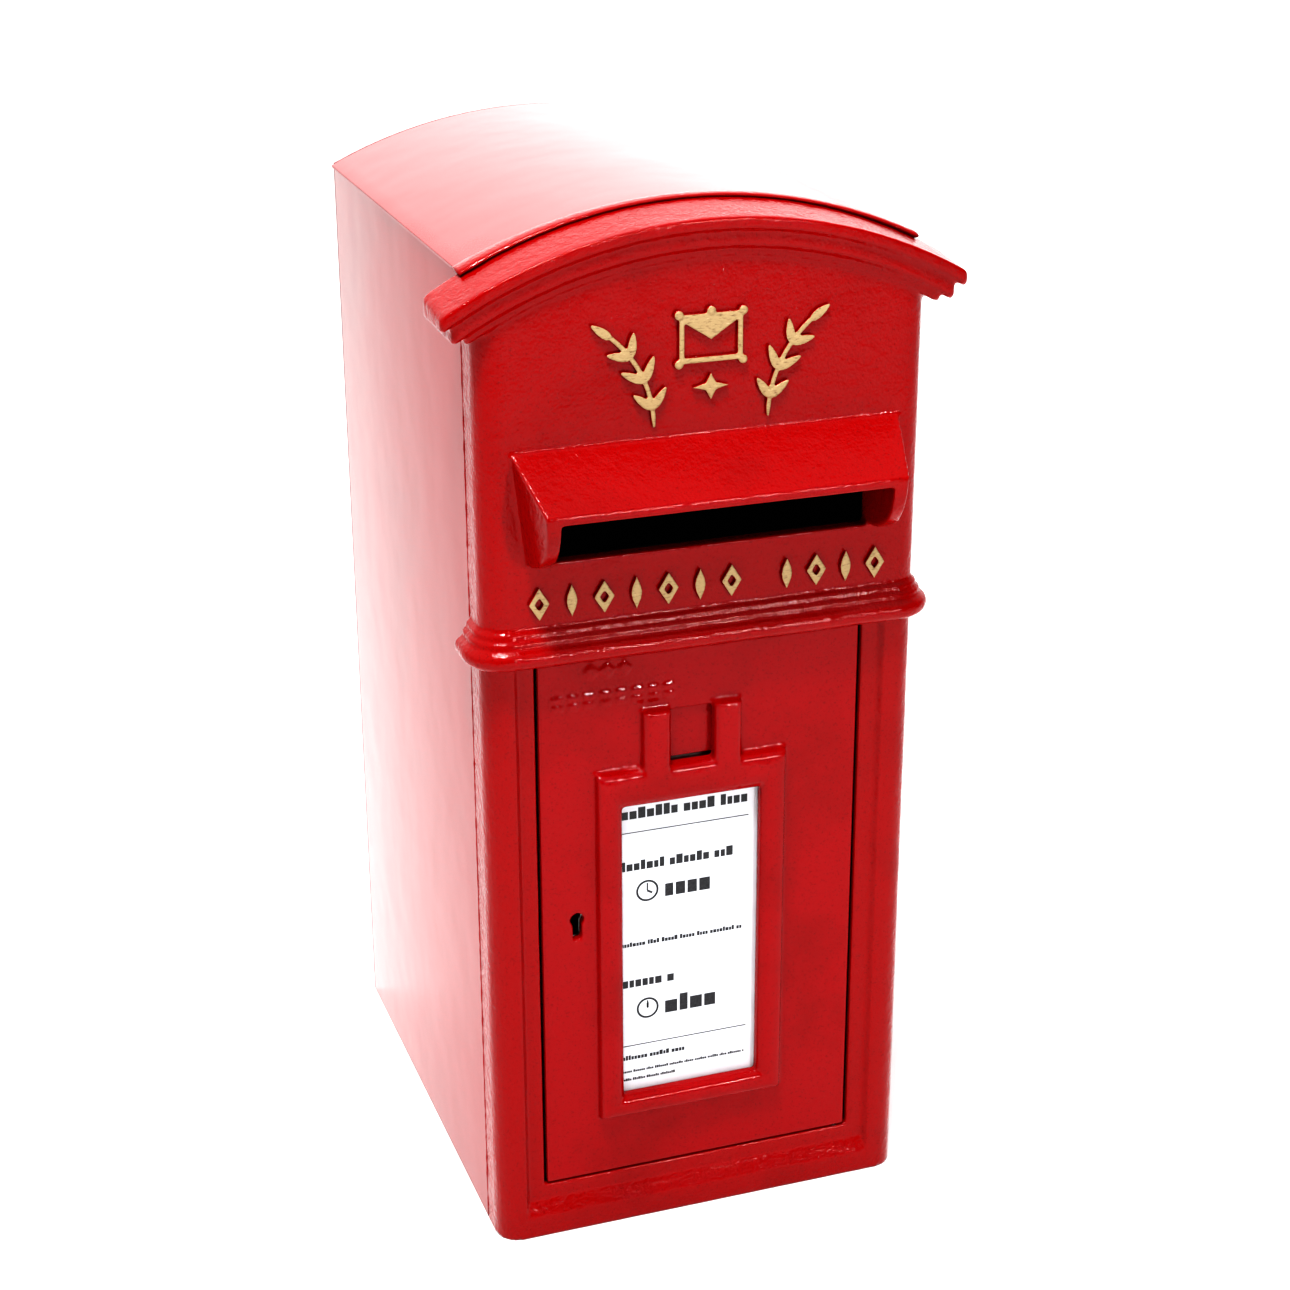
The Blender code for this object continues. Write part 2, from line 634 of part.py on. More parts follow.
def lock_case(parent):
    """Open-backed case with two ears, a keyhole and a slot for the bolt."""
    front = DOOR_BACK + GAP
    back = front + LOCK_DEPTH
    case = box("lock_case", LOCK_X0, LOCK_X1, front, back, LOCK_Z0, LOCK_Z1)
    ears = [box("ear", LOCK_SCREW_X - 5.5, LOCK_SCREW_X + 5.5, front, front + LOCK_WALL, low, low + 11.0)
            for low in (LOCK_Z0 - 10.0, LOCK_Z1 - 1.0)]
    combine(case, ears, "UNION")
    cuts = [
        box("inside", LOCK_X0 + LOCK_WALL, LOCK_X1 - LOCK_WALL, front + LOCK_WALL, back + 1,
            LOCK_Z0 + LOCK_WALL, LOCK_Z1 - LOCK_WALL),
        box("bolt_slot", LOCK_X0 - 1, LOCK_X0 + LOCK_WALL + 1, BOLT_D0 - 0.4, BOLT_D1 + 0.4,
            BOLT_Z0 - 0.4, BOLT_Z1 + 0.4),
        keyhole(front - 1, front + LOCK_WALL + 1),
    ]
    for x, z in LOCK_SCREWS:
        hole = ((front - 1, DOOR_SCREW_RADIUS + GAP), (front + LOCK_WALL + 1, DOOR_SCREW_RADIUS + GAP))
        cuts.append(turned("hole", (x, 0.0, z), "DEPTH", hole, 10))
    finish(combine(case, cuts, "DIFFERENCE"), "zinc_steel", parent)


def lock_inner(parent, bolt_parent):
    front = DOOR_BACK + GAP
    back = front + LOCK_DEPTH
    cap = box("lock_cap", LOCK_X0, LOCK_X1, back + GAP, back + GAP + LOCK_WALL, LOCK_Z0, LOCK_Z1)
    finish(cap, "zinc_steel", parent)
    notch_half = 4.0
    outline = [(BOLT_X0, BOLT_Z0), (KEYHOLE_X - notch_half, BOLT_Z0), (KEYHOLE_X - notch_half, BOLT_Z0 + 3.6),
               (KEYHOLE_X + notch_half, BOLT_Z0 + 3.6), (KEYHOLE_X + notch_half, BOLT_Z0), (BOLT_X1, BOLT_Z0),
               (BOLT_X1, BOLT_Z1), (BOLT_X0 + 2.0, BOLT_Z1), (BOLT_X0, BOLT_Z1 - 2.0)]
    finish(along_depth("lock_bolt", outline, BOLT_D0, BOLT_D1), "brass", bolt_parent)
    spring = []
    for i in range(13):
        share = i / 12
        x = LOCK_X0 + LOCK_WALL + 1.0 + share * (LOCK_X1 - LOCK_X0 - 2 * LOCK_WALL - 2.0)
        spring.append((x, LOCK_Z1 - LOCK_WALL - 1.4 - 8.0 * sin(pi * share)))
    leaf = spring + [(x, z + 0.7) for x, z in reversed(spring)]
    finish(along_depth("detent_spring", leaf, BOLT_D0, BOLT_D1), "spring_steel", parent)
    for number, (x, z) in enumerate(LOCK_SCREWS, 1):
        pan_screw(f"lock_screw_{number}", x, z, 5.9, front + LOCK_WALL, DOOR_SCREW_RADIUS, 2.8, parent)


# ---------------------------------------------------------------- gilt relief
RELIEF_FRONT = -2.4
RELIEF_BACK = -GAP
ROW_BOTTOM_Z = 370.6
ROW_TOP_Z = 388.6
ROW_LEFT = (-91.5, 7, 17.3)      # centre of the first mark, count, pitch
ROW_RIGHT = (43.0, 4, 16.6)
DIAMOND_HALF = 5.6
SLIM_LEAF_HALF = 3.0
LEAF_POINTS = 16
LEFT_SPRIG_X = -30.0             # where the stems start, beside the crest
RIGHT_SPRIG_X = 31.0
SPRIG_FOOT_Z = 466.0
SPRIG_RADIUS = 62.0
SPRIG_SWEEP = 0.95
SPRIG_STEPS = 12
SPRIG_STEM_HALF = 1.3
SPRIG_LEAVES = ((2, 13.0), (5, 14.0), (8, 13.0))     # path step and leaf length of each pair
SPRIG_TIP = 13.0
LEAF_SPREAD = 0.75
LEAF_HALF = 3.1
LEAF_STAGGER = 0.04              # keeps the faces of leaves that cross out of one plane
CREST_HALF = 17.0
CREST_BOTTOM_Z = 497.0
CREST_TOP_Z = 522.0
CREST_BAND = 3.0
LOZENGE_Z = 484.5
LOZENGE_HALF_X = 10.0
LOZENGE_HALF_Z = 7.0


def stroke(name, path, half, front=RELIEF_FRONT, back=RELIEF_BACK):
    """Flat ribbon of width 2 * half along an (x, z) path, narrowing at its ends."""
    rings = []
    for i, (x, z) in enumerate(path):
        before = path[max(i - 1, 0)]
        after = path[min(i + 1, len(path) - 1)]
        run = (after[0] - before[0], after[1] - before[1])
        width = half * (0.55 if i in (0, len(path) - 1) else 1.0) / hypot(*run)
        left = (x - run[1] * width, z + run[0] * width)
        right = (x + run[1] * width, z - run[0] * width)
        rings.append([(left[0], front, left[1]), (right[0], front, right[1]),
                      (right[0], back, right[1]), (left[0], back, left[1])])
    return loft(name, rings)


def leaf(x, z, angle, length, lift):
    """Leaf that starts at (x, z) and runs along angle, from +x towards +z; lift offsets its two faces."""
    outline = []
    for i in range(LEAF_POINTS):
        turn = 2 * pi * i / LEAF_POINTS
        along = 0.5 * length * (1 - cos(turn))
        across = LEAF_HALF * sin(turn) * (0.75 + 0.25 * cos(turn))
        outline.append((x + along * cos(angle) - across * sin(angle),
                        z + along * sin(angle) + across * cos(angle)))
    return along_depth("leaf", outline, RELIEF_FRONT + lift, RELIEF_BACK - lift)


def laurel_sprig(name, foot_x, side):
    """Sprig that bends away from the crest, with leaves in pairs and one at its tip."""
    path = []
    for i in range(SPRIG_STEPS + 1):
        angle = SPRIG_SWEEP * i / SPRIG_STEPS
        path.append((foot_x + side * SPRIG_RADIUS * (1 - cos(angle)),
                     SPRIG_FOOT_Z + SPRIG_RADIUS * sin(angle)))
    stem = stroke(name, path, SPRIG_STEM_HALF, RELIEF_FRONT + 0.4, RELIEF_BACK - 0.05)
    leaves = []
    for step, length in SPRIG_LEAVES:
        x, z = path[step]
        growth = pi / 2 - side * SPRIG_SWEEP * step / SPRIG_STEPS
        for turn in (-LEAF_SPREAD, LEAF_SPREAD):
            leaves.append(leaf(x, z, growth + turn, length, LEAF_STAGGER * (len(leaves) + 1)))
    x, z = path[-2]
    leaves.append(leaf(x, z, pi / 2 - side * SPRIG_SWEEP, SPRIG_TIP, LEAF_STAGGER * (len(leaves) + 1)))
    finish(combine(stem, leaves, "UNION"), "gilt_paint")


def crest_envelope():
    """Envelope with an open flap and a bead at each corner, standing in for a crest."""
    flap = 0.5 * (CREST_BOTTOM_Z + CREST_TOP_Z) - 1.0
    outer = [(-CREST_HALF, CREST_BOTTOM_Z), (CREST_HALF, CREST_BOTTOM_Z), (CREST_HALF, CREST_TOP_Z),
             (0.0, CREST_TOP_Z), (-CREST_HALF, CREST_TOP_Z)]
    inside = CREST_HALF - CREST_BAND
    shoulder = CREST_TOP_Z - CREST_BAND - 1.4
    floor = CREST_BOTTOM_Z + CREST_BAND
    inner = [(-inside, floor), (inside, floor), (inside, shoulder), (0.0, flap), (-inside, shoulder)]
    crest = ring_prism("crest_envelope", outer, inner, RELIEF_FRONT, RELIEF_BACK)
    bead = ((RELIEF_FRONT - 0.5, 1.6), (RELIEF_FRONT + 0.2, 2.6), (RELIEF_BACK - 0.1, 2.7))
    corners = [(side * CREST_HALF, z) for side in (-1, 1) for z in (CREST_BOTTOM_Z, CREST_TOP_Z)]
    beads = [turned("bead", (x, 0.0, z), "DEPTH", bead, 12) for x, z in [*corners, (0.0, CREST_TOP_Z + 1.0)]]
    finish(combine(crest, beads, "UNION"), "gilt_paint")


def crest_lozenge():
    """Four-pointed star below the crest, wider than it is high."""
    outline = []
    for i in range(8):
        reach = (1.0, 0.4)[i % 2]
        angle = 2 * pi * i / 8
        outline.append((LOZENGE_HALF_X * reach * cos(angle), LOZENGE_Z + LOZENGE_HALF_Z * reach * sin(angle)))
    finish(along_depth("crest_lozenge", outline, RELIEF_FRONT, RELIEF_BACK), "gilt_paint")


def row_marks():
    """Row of open diamonds and slim leaves below the slot, in two groups."""
    number = 0
    mid = 0.5 * (ROW_BOTTOM_Z + ROW_TOP_Z)
    reach = mid - ROW_BOTTOM_Z
    for first, count, pitch in (ROW_LEFT, ROW_RIGHT):
        for i in range(count):
            number += 1
            name = f"row_mark_{number:02d}"
            x = first + pitch * i
            if number % 2:
                outer = [(x, ROW_BOTTOM_Z), (x + DIAMOND_HALF, mid), (x, ROW_TOP_Z), (x - DIAMOND_HALF, mid)]
                inner = [(x, mid - 0.38 * reach), (x + 0.41 * DIAMOND_HALF, mid), (x, mid + 0.38 * reach),
                         (x - 0.41 * DIAMOND_HALF, mid)]
                mark = ring_prism(name, outer, inner, RELIEF_FRONT, RELIEF_BACK)
            else:
                turns = [2 * pi * k / LEAF_POINTS for k in range(LEAF_POINTS)]
                outline = [(x + SLIM_LEAF_HALF * sin(turn) ** 3, mid + reach * cos(turn)) for turn in turns]
                mark = along_depth(name, outline, RELIEF_FRONT, RELIEF_BACK)
            finish(mark, "gilt_paint")


def gilt_marks():
    laurel_sprig("left_laurel", LEFT_SPRIG_X, -1)
    laurel_sprig("right_laurel", RIGHT_SPRIG_X, 1)
    crest_envelope()
    crest_lozenge()
    row_marks()


# ---------------------------------------------------------------- build
def main():
    for old in list(bpy.data.objects):
        bpy.data.objects.remove(old, do_unlink=True)
    front_casting()
    side_panel("left_side_panel", -1)
    side_panel("right_side_panel", 1)
    roof_panel()
    back_panel()
    base_plate()
    body_screws()
    hinge_pins()
    gilt_marks()
    door_joint = joint_empty("door_joint", HINGE_X, HINGE_DEPTH, DOOR_BOTTOM)
    bolt_joint = joint_empty("bolt_joint", BOLT_X0, 0.5 * (BOLT_D0 + BOLT_D1), 0.5 * (BOLT_Z0 + BOLT_Z1))
    bolt_joint.parent = door_joint
    bolt_joint.matrix_parent_inverse = door_joint.matrix_basis.inverted()
    door(door_joint)
    notice_fittings(door_joint)
    lock_case(door_joint)
    lock_inner(door_joint, bolt_joint)


main()
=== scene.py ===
"""Looks of the letter-box money box: painted castings, sheet panels, gilt relief, printed card and hardware.

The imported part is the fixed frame. Cast pieces are rebuilt from their CAD solids as soft-edged painted
castings, folded pieces get rounded sheet edges, and every piece gets a procedural material.
Lengths are written in millimetres and multiplied by MM, unless a comment says otherwise.
"""
import json
from math import cos, hypot, pi, radians, sin, sqrt
import random

import bmesh
import bpy
from mathutils import Matrix, Vector, noise
import numpy as np


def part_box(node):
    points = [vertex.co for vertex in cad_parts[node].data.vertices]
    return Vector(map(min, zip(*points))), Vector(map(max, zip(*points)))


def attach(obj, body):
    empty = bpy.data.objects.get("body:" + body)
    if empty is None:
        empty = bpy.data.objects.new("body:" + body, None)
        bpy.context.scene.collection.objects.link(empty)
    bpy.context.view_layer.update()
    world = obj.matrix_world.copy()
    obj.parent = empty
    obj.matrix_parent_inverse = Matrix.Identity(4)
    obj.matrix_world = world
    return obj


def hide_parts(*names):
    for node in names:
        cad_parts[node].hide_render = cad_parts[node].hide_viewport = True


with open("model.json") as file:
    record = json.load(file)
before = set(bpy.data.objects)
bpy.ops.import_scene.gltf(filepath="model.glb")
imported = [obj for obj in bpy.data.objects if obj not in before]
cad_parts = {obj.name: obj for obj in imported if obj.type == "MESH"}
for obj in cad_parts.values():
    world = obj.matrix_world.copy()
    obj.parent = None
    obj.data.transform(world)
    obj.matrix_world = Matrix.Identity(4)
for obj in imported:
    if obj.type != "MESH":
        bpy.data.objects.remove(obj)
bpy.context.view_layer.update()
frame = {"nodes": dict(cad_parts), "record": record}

MM = 0.001
WELD = 1e-6                                        # metres
BODIES = frame["record"]["behaviour"]["bodies"]
BODY_OF = {node: body for body, members in BODIES.items() for node in members}

# ---------------------------------------------------------------- places, from the frame where it holds them
CASTING_LOW, CASTING_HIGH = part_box("front_casting")
CARD_LOW, CARD_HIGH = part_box("notice_card")
ROOF_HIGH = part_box("roof_panel")[1]
DOOR_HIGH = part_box("door")[1]
HOOD_PROJECTION = 33.5 * MM
ROOF_RADIUS = 277.0 * MM
CORNICE_RADIUS = 265.0 * MM
FRONT_Y = CASTING_LOW.y + HOOD_PROJECTION          # front face of the casting
BODY_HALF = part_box("back_panel")[1].x
SIDE_PANEL_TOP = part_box("left_side_panel")[1].z

# ---------------------------------------------------------------- colours
ENAMEL = (0.26, 0.0003, 0.0009)
ENAMEL_DEEP = (0.225, 0.0002, 0.0006)
ENAMEL_PALE = (0.285, 0.0008, 0.0018)
DOOR_TONE = (0.27, 0.0005, 0.0026)
GOLD = (0.36, 0.26, 0.135)
GOLD_DARK = (0.18, 0.11, 0.05)
GOLD_WORN = (0.56, 0.44, 0.28)
# Near-black painted shade for the box's inside faces
SHADE_BLACK = (0.012, 0.011, 0.011)
PAPER_DULL = (0.58, 0.60, 0.63)
PAPER_BRIGHT = (0.64, 0.655, 0.68)
INK_BLACK = (0.008, 0.008, 0.010)
INK_GREY = (0.030, 0.030, 0.035)
FLOOR_WHITE = (0.88, 0.88, 0.88)


# ---------------------------------------------------------------- mesh helpers
def add_object(name, data):
    """A new object in the scene, for a mesh, a light or a camera."""
    made = bpy.data.objects.new(name, data)
    bpy.context.scene.collection.objects.link(made)
    return made


def welded_copy(node, name):
    """A copy of a CAD node whose split vertices are joined again."""
    mesh = frame["nodes"][node].data.copy()
    mesh.materials.clear()
    work = bmesh.new()
    work.from_mesh(mesh)
    bmesh.ops.remove_doubles(work, verts=work.verts, dist=WELD)
    bmesh.ops.dissolve_limit(work, angle_limit=radians(0.4), verts=work.verts, edges=work.edges)
    work.to_mesh(mesh)
    work.free()
    return add_object(name, mesh)


def freeze(piece):
    """Apply a piece's modifiers."""
    evaluated = piece.evaluated_get(bpy.context.evaluated_depsgraph_get())
    mesh = bpy.data.meshes.new_from_object(evaluated)
    piece.modifiers.clear()
    piece.data = mesh
    return piece


def stand_for(piece, node):
    """Let a piece take a CAD node's place and body."""
    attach(piece, BODY_OF[node])
    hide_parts(node)
    return piece


def dress(piece, *materials):
    """Give a piece its materials, in the order of its faces' indices."""
    piece.data.materials.clear()
    for material in materials:
        piece.data.materials.append(material)
    return piece


def box_mesh(work, low, high):
    """Add an axis-aligned block to a bmesh."""
    size = Vector(high) - Vector(low)
    centre = (Vector(high) + Vector(low)) / 2
    matrix = Matrix.Translation(centre) @ Matrix.Diagonal((*size, 1.0))
    bmesh.ops.create_cube(work, size=1.0, matrix=matrix)


SOFTEN_ROUNDS = 3
LONG_WAVE = 55.0                                   # cycles per metre
SHORT_WAVE = 140.0


def uneven(place):
    """Height of a casting's slow waves at a place, from about -1 to 1."""
    return noise.noise(place * LONG_WAVE) + 0.5 * noise.noise(place * SHORT_WAVE)


def castify(piece, voxel, keep, wave):
    """Soften a piece's edges as thick paint on a sand casting does: voxel remesh, smoothing, slight waves.

    keep is the share of the triangles left at the end, and wave the height of the waves.
    """
    remesh = piece.modifiers.new("remesh", "REMESH")
    remesh.mode = "VOXEL"
    remesh.voxel_size = voxel
    soften = piece.modifiers.new("soften", "SMOOTH")
    soften.factor = 0.5
    soften.iterations = SOFTEN_ROUNDS
    freeze(piece)
    mesh = piece.data
    places = np.zeros(len(mesh.vertices) * 3)
    normals = np.zeros(len(mesh.vertices) * 3)
    mesh.vertices.foreach_get("co", places)
    mesh.vertices.foreach_get("normal", normals)
    places = places.reshape(-1, 3)
    heights = np.array([uneven(Vector(place)) for place in places])
    places += normals.reshape(-1, 3) * wave * heights[:, None]
    mesh.vertices.foreach_set("co", places.ravel())
    mesh.update()
    if keep < 1.0:
        thin = piece.modifiers.new("thin", "DECIMATE")
        thin.ratio = keep
        freeze(piece)
    piece.data.shade_smooth()
    return piece


FOLD_ANGLE = radians(35)
FACET_ANGLE = radians(20)


def fold_edges(piece, width):
    """Round a sheet or machined piece's sharp edges slightly, and keep its flat faces flat."""
    bevel = piece.modifiers.new("edge", "BEVEL")
    bevel.width = width
    bevel.segments = 2
    bevel.limit_method = "ANGLE"
    bevel.angle_limit = FOLD_ANGLE
    freeze(piece)
    piece.data.shade_smooth()
    piece.data.set_sharp_from_angle(angle=FACET_ANGLE)
    return piece


# ---------------------------------------------------------------- node helpers
MIX_COLOUR_INPUTS = (0, 6, 7)
MIX_COLOUR_OUTPUT = 2


def feed(tree, value, socket):
    """Put a number or a colour in a socket, or link another socket to it."""
    if isinstance(value, (int, float)):
        socket.default_value = value
    elif isinstance(value, tuple):
        socket.default_value = (*value, 1.0)
    else:
        tree.links.new(value, socket)


class Shade:
    """A material's node tree with short calls to build it."""

    def __init__(self, name):
        self.material = bpy.data.materials.new(name)
        self.material.use_nodes = True
        self.tree = self.material.node_tree
        self.shader = self.tree.nodes["Principled BSDF"]
        self.place = self.add("ShaderNodeTexCoord").outputs["Object"]

    def add(self, kind, **settings):
        made = self.tree.nodes.new(kind)
        for key, value in settings.items():
            setattr(made, key, value)
        return made

    def link(self, source, target):
        self.tree.links.new(source, target)

    def drive(self, name, source):
        """Link a socket to one of the shader's inputs."""
        self.link(source, self.shader.inputs[name])

    def set(self, **values):
        """Set the shader's inputs, with _ for a space in their names."""
        for key, value in values.items():
            self.shader.inputs[key.replace("_", " ")].default_value = value

    def noise(self, scale, detail=3.0, roughness=0.55, stretch=None):
        """Noise factor at a scale in cycles per metre; stretch squeezes it along the axes."""
        made = self.add("ShaderNodeTexNoise")
        made.inputs["Scale"].default_value = scale
        made.inputs["Detail"].default_value = detail
        made.inputs["Roughness"].default_value = roughness
        place = self.place
        if stretch:
            mapping = self.add("ShaderNodeMapping")
            mapping.inputs["Scale"].default_value = stretch
            self.link(place, mapping.inputs["Vector"])
            place = mapping.outputs["Vector"]
        self.link(place, made.inputs["Vector"])
        return made.outputs["Fac"]

    def ramp(self, source, stops):
        """Colour ramp through (position, value or colour) stops."""
        made = self.add("ShaderNodeValToRGB")
        elements = made.color_ramp.elements
        while len(elements) < len(stops):
            elements.new(0.5)
        for element, (position, colour) in zip(elements, stops):
            element.position = position
            if isinstance(colour, (int, float)):
                colour = (colour, colour, colour)
            element.color = (*colour, 1.0)
        self.link(source, made.inputs["Fac"])
        return made.outputs["Color"]

    def math(self, operation, first, second):
        made = self.add("ShaderNodeMath", operation=operation)
        feed(self.tree, first, made.inputs[0])
        feed(self.tree, second, made.inputs[1])
        return made.outputs["Value"]

    def mix(self, factor, first, second, blend_type="MIX"):
        """Blend two colours, by the mix node's colour sockets."""
        made = self.add("ShaderNodeMix", data_type="RGBA", blend_type=blend_type)
        for value, index in zip((factor, first, second), MIX_COLOUR_INPUTS):
            feed(self.tree, value, made.inputs[index])
        return made.outputs[MIX_COLOUR_OUTPUT]

    def bump(self, layers):
        """Chain bumps given as (height, distance in metres, strength)."""
        normal = None
        for height, distance, strength in layers:
            made = self.add("ShaderNodeBump")
            made.inputs["Strength"].default_value = strength
            made.inputs["Distance"].default_value = distance
            self.link(height, made.inputs["Height"])
            if normal:
                self.link(normal, made.inputs["Normal"])
            normal = made.outputs["Normal"]
        self.link(normal, self.shader.inputs["Normal"])


# ---------------------------------------------------------------- materials
def enamel(name, grain, wave, tone=ENAMEL, ior=1.32):
    """Thick glossy red paint; grain is the height of its orange peel and wave that of the slower swell."""
    shade = Shade(name)
    shade.set(Metallic=0.0, IOR=ior)
    cloudy = shade.noise(14.0, 4.0)
    colour = shade.ramp(cloudy, ((0.3, ENAMEL_DEEP), (0.5, tone), (0.72, tone), (0.85, ENAMEL_PALE)))
    pits = shade.ramp(shade.noise(900.0, 2.0), ((0.28, 0.55), (0.42, 1.0)))
    shade.drive("Base Color", shade.mix(0.6, colour, pits, "MULTIPLY"))
    shade.drive("Roughness", shade.ramp(shade.noise(60.0), ((0.3, 0.07), (0.7, 0.12))))
    peel = shade.noise(620.0, 2.5, 0.5)
    dimples = shade.noise(190.0, 2.0, 0.45)
    swell = shade.noise(28.0, 1.5, 0.4)
    shade.bump(((swell, wave, 1.0), (dimples, grain * 1.6, 1.0), (peel, grain, 1.0)))
    return shade.material


def shade_black_paint():
    """Near-black paint inside the box: painted shade for the shade in the closed box's inside, with a little
    mottle.
    """
    shade = Shade("inside_painted_shade")
    shade.set(Roughness=0.85, IOR=1.3)
    lighter_mottle = tuple(1.6 * channel for channel in SHADE_BLACK)
    shade.drive("Base Color", shade.ramp(shade.noise(120.0), ((0.3, SHADE_BLACK), (0.7, lighter_mottle))))
    shade.bump(((shade.noise(500.0), 0.0002, 0.6),))
    return shade.material


GILT_EDGE = 0.86


def gilt():
    """Hand-brushed gold on the tops of the relief, red enamel on its sides."""
    shade = Shade("gilt_relief")
    split = shade.add("ShaderNodeSeparateXYZ")
    shade.link(shade.add("ShaderNodeTexCoord").outputs["Normal"], split.inputs["Vector"])
    facing = shade.math("MULTIPLY", split.outputs["Y"], -1.0)
    ragged = shade.math("ADD", facing, shade.math("MULTIPLY", shade.noise(420.0, 3.0), 0.5))
    top = shade.ramp(ragged, ((GILT_EDGE, 0.0), (GILT_EDGE + 0.06, 1.0)))
    brushed = shade.noise(300.0, 4.0, 0.6, stretch=(1.0, 1.0, 3.5))
    gold = shade.ramp(brushed, ((0.32, GOLD_DARK), (0.46, GOLD), (0.62, GOLD), (0.75, GOLD_WORN)))
    shade.drive("Base Color", shade.mix(top, ENAMEL, gold))
    shade.drive("Metallic", shade.math("MULTIPLY", top, 0.3))
    shade.drive("Roughness", shade.ramp(top, ((0.0, 0.25), (1.0, 0.42))))
    shade.bump(((brushed, 0.0005, 0.8), (shade.noise(900.0, 2.0), 0.0002, 0.7)))
    return shade.material


def paper():
    """Smooth white card with a little mottle."""
    shade = Shade("notice_paper")
    shade.set(Roughness=0.6, IOR=1.45)
    shade.drive("Base Color", shade.ramp(shade.noise(90.0, 5.0), ((0.3, PAPER_DULL), (0.7, PAPER_BRIGHT))))
    shade.bump(((shade.noise(1500.0, 3.0), 0.00004, 0.5), (shade.noise(12.0, 1.0), 0.001, 0.4)))
    return shade.material


def ink():
    """Black print, a little thin in places."""
    shade = Shade("notice_ink")
    shade.set(Roughness=0.5)
    shade.drive("Base Color", shade.ramp(shade.noise(700.0), ((0.3, INK_BLACK), (0.8, INK_GREY))))
    return shade.material


def metal(name, dark, light, rough, stretch):
    """Plated or machined metal with fine marks drawn out along one axis."""
    shade = Shade(name)
    shade.set(Metallic=1.0)
    marks = shade.noise(260.0, 5.0, 0.65, stretch=stretch)
    shade.drive("Base Color", shade.ramp(shade.noise(45.0, 4.0), ((0.3, dark), (0.7, light))))
    shade.drive("Roughness", shade.ramp(marks, ((0.3, rough * 0.75), (0.7, rough * 1.35))))
    shade.bump(((marks, 0.00006, 0.7),))
    return shade.material


CAST_ENAMEL = enamel("cast_red_enamel", 0.00026, 0.0010)
DOOR_ENAMEL = enamel("door_red_enamel", 0.00014, 0.0008, DOOR_TONE)
SHEET_ENAMEL = enamel("sheet_red_enamel", 0.000003, 0.0003, ior=1.50)
PAINTED_INSIDE_SHADE = shade_black_paint()
GILT = gilt()
PAPER = paper()
INK = ink()
ZINC = metal("zinc_plate", (0.42, 0.43, 0.42), (0.66, 0.66, 0.62), 0.34, (1.0, 1.0, 5.0))
SPRING = metal("blued_spring", (0.10, 0.12, 0.18), (0.24, 0.25, 0.30), 0.3, (6.0, 1.0, 1.0))
BRASS = metal("bolt_brass", (0.62, 0.40, 0.14), (0.80, 0.58, 0.26), 0.28, (1.0, 6.0, 6.0))


# ---------------------------------------------------------------- castings
CAST_VOXEL = 1.0 * MM
CAST_KEEP = 0.3
CAST_WAVE = 0.10 * MM
DOOR_VOXEL = 1.05 * MM
DOOR_KEEP = 0.5
DOOR_WAVE = 0.07 * MM
# Depth of the door's back faces that get the near-black painted shade
DOOR_SHADE_DEPTH = 1.2 * MM
# The casting's inside, painted near-black as painted shade: under an arch, between the side walls, behind
# the front wall
ARC_CENTRE_Z = 299.0 * MM
INNER_ARCH = 249.0 * MM
INNER_HALF = 116.0 * MM
INNER_DEPTH = 7.0 * MM
INNER_FLOOR = 4.0 * MM
# Worn relief at the door's head
DOOR_FACE = FRONT_Y + 3.5 * MM
RELIEF_RISE = 0.9 * MM
RELIEF_ROOT = 1.0 * MM
LOZENGE_SIDE = 5.4 * MM
LOZENGE_START = -63.0 * MM
LOZENGE_PITCH = 9.0 * MM
LOZENGE_Z = 336.5 * MM
DASH_START = -84.5 * MM
DASH_PITCH = 8.8 * MM
DASH_LENGTH = 5.4 * MM
DASH_HEIGHT = 2.4 * MM
DASH_ROWS = (317.4 * MM, 322.2 * MM)               # lower edges


def inside_casting(point):
    depth = point.y - FRONT_Y
    arch = hypot(point.x, point.z - ARC_CENTRE_Z)
    under = point.z < ARC_CENTRE_Z or arch < INNER_ARCH
    return under and depth > INNER_DEPTH and abs(point.x) < INNER_HALF and point.z > INNER_FLOOR


def front_casting():
    """The painted front, near-black inside as painted shade."""
    piece = welded_copy("front_casting", "painted_front_casting")
    castify(piece, CAST_VOXEL, CAST_KEEP, CAST_WAVE)
    dress(piece, CAST_ENAMEL, PAINTED_INSIDE_SHADE)
    for face in piece.data.polygons:
        face.material_index = int(inside_casting(face.center))
    stand_for(piece, "front_casting")


def door_relief(work):
    """Worn low relief at the door's head: lozenges over two rows of short dashes, under the paint."""
    size = Matrix.Diagonal((LOZENGE_SIDE, 2 * RELIEF_ROOT, LOZENGE_SIDE, 1.0))
    for i in range(3):
        centre = Vector((LOZENGE_START + i * LOZENGE_PITCH, DOOR_FACE, LOZENGE_Z))
        lozenge = Matrix.Translation(centre) @ Matrix.Rotation(pi / 4, 4, "Y") @ size
        bmesh.ops.create_cube(work, size=1.0, matrix=lozenge)
    for i in range(8):
        x = DASH_START + i * DASH_PITCH
        for z in DASH_ROWS:
            low = (x, DOOR_FACE - RELIEF_RISE, z)
            box_mesh(work, low, (x + DASH_LENGTH, DOOR_FACE + RELIEF_ROOT, z + DASH_HEIGHT))


